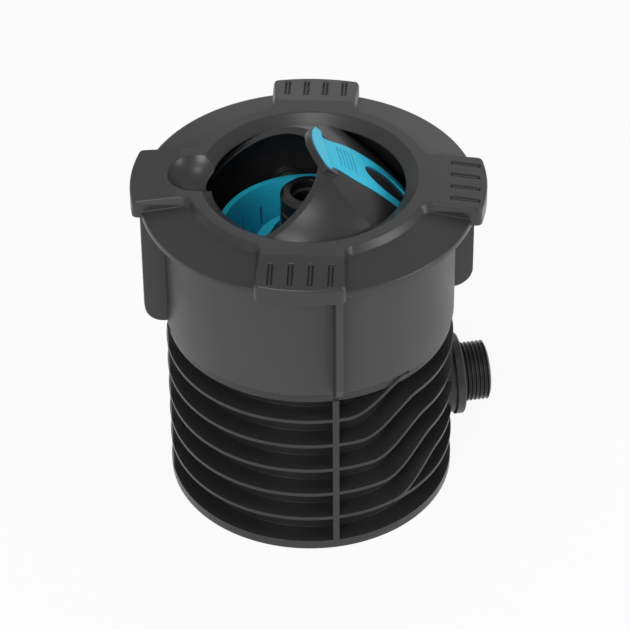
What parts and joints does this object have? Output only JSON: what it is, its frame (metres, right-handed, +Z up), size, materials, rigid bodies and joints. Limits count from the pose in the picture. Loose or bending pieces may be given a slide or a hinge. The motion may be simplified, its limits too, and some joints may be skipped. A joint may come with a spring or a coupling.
{
  "type": "in-ground water outlet box",
  "caption": "Round in-ground garden water outlet box: ribbed pot, smooth shell with fins, lugged collar ring, raised swivel dome lid, sieve cup, hose nose and a threaded side inlet.",
  "frame": {"origin": "centre of the pot's flat base", "axes": "+Z up along the pot's axis, +X along the threaded side inlet, away from the pot"},
  "size_m": [0.1546, 0.1504, 0.1745],
  "materials": {
    "shell_plastic": "satin, fine grain",
    "collar_plastic": "satin, fine grain",
    "lid_plastic": "half gloss",
    "badge_plastic": "half gloss",
    "turquoise_plastic": "satin",
    "black_plastic": "satin",
    "spigot_plastic": "satin",
    "pin_plastic": "satin",
    "seal_rubber": "matt",
    "spring_steel": "bright"
  },
  "bodies": {
    "housing": {"lower_shell": "shell_plastic", "upper_shell": "shell_plastic", "sieve_cup": "turquoise_plastic", "connector_nose": "black_plastic", "nose_oring": "seal_rubber", "riser_pipe": "black_plastic", "riser_oring": "seal_rubber", "elbow_fitting": "black_plastic", "elbow_screw_1": "spring_steel", "elbow_screw_2": "spring_steel", "elbow_screw_3": "spring_steel", "inlet_spigot": "spigot_plastic", "spigot_gasket": "seal_rubber", "spigot_locknut": "spigot_plastic", "valve_seat": "black_plastic", "spring_spider": "pin_plastic", "valve_spring": "spring_steel"},
    "collar": {"collar_ring": "collar_plastic"},
    "lid": {"lid_dome": "lid_plastic", "lid_inlay": "turquoise_plastic", "lid_badge": "badge_plastic", "lid_pin_front": "pin_plastic", "lid_pin_rear": "pin_plastic"},
    "poppet": {"valve_poppet": "pin_plastic", "poppet_seal": "seal_rubber"}
  },
  "joints": [
    {"name": "collar_turn", "type": "hinge", "parent": "housing", "child": "collar", "pos_m": [0, 0, 0.15], "axis": [0, 0, 1], "range_deg": [0, 20]},
    {"name": "lid_turn", "type": "hinge", "parent": "housing", "child": "lid", "pos_m": [0, 0, 0.116], "axis": [0, 1, 0], "range_deg": [-45, 34]},
    {"name": "poppet_slide", "type": "slide", "parent": "housing", "child": "poppet", "axis": [0, 0, -1], "range_m": [0, 0.005], "stiffness_N_per_m": 300, "springref_m": -0.003, "deforming": ["valve_spring"]}
  ]
}
